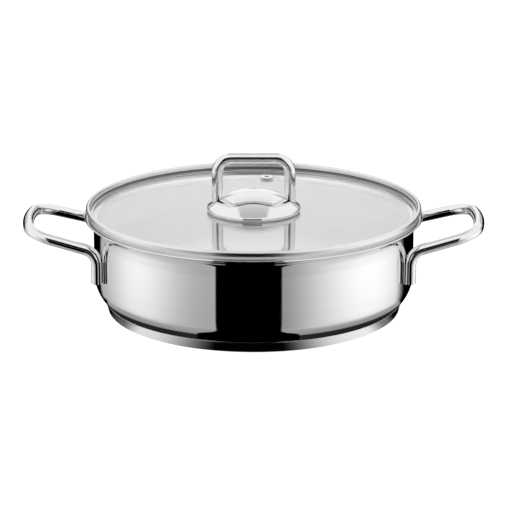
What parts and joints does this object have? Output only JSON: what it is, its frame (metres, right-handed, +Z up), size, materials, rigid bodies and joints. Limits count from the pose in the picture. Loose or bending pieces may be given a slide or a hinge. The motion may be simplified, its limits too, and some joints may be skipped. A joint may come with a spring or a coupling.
{
  "type": "cooking pot with lid",
  "caption": "Low round steel cooking pot with bent tube side handles, a pouring lip, an encapsulated base and a glass lid that lifts off.",
  "frame": {"origin": "centre of the resting face under the base", "axes": "+Z up along the pot's axis, X through the two side handles, -Y towards the viewer in the picture"},
  "size_m": [0.4056, 0.2986, 0.1404],
  "materials": {
    "polished_steel": "mirror-polished stainless steel",
    "satin_steel": "satin stainless steel",
    "aluminium_core": "rolled aluminium",
    "lid_glass": "clear toughened glass",
    "clear_silicone": "translucent silicone"
  },
  "bodies": {
    "pot": {"pot_shell": "polished_steel", "base_core": "aluminium_core", "base_cap": "satin_steel", "left_handle": "polished_steel", "right_handle": "polished_steel"},
    "lid": {"lid_glass": "lid_glass", "lid_rim": "polished_steel", "rim_seal": "clear_silicone", "lid_rosette": "polished_steel", "rosette_gasket": "clear_silicone", "lid_handle": "polished_steel", "handle_boss": "satin_steel", "lid_screw": "satin_steel", "screw_washer": "satin_steel", "screw_seal": "clear_silicone", "glass_bush": "clear_silicone", "vent_eyelet": "polished_steel", "vent_gasket": "clear_silicone"}
  },
  "joints": [
    {"name": "lid_lift", "type": "slide", "parent": "pot", "child": "lid", "axis": [0, 0, 1], "range_m": [0, 0.12]}
  ]
}
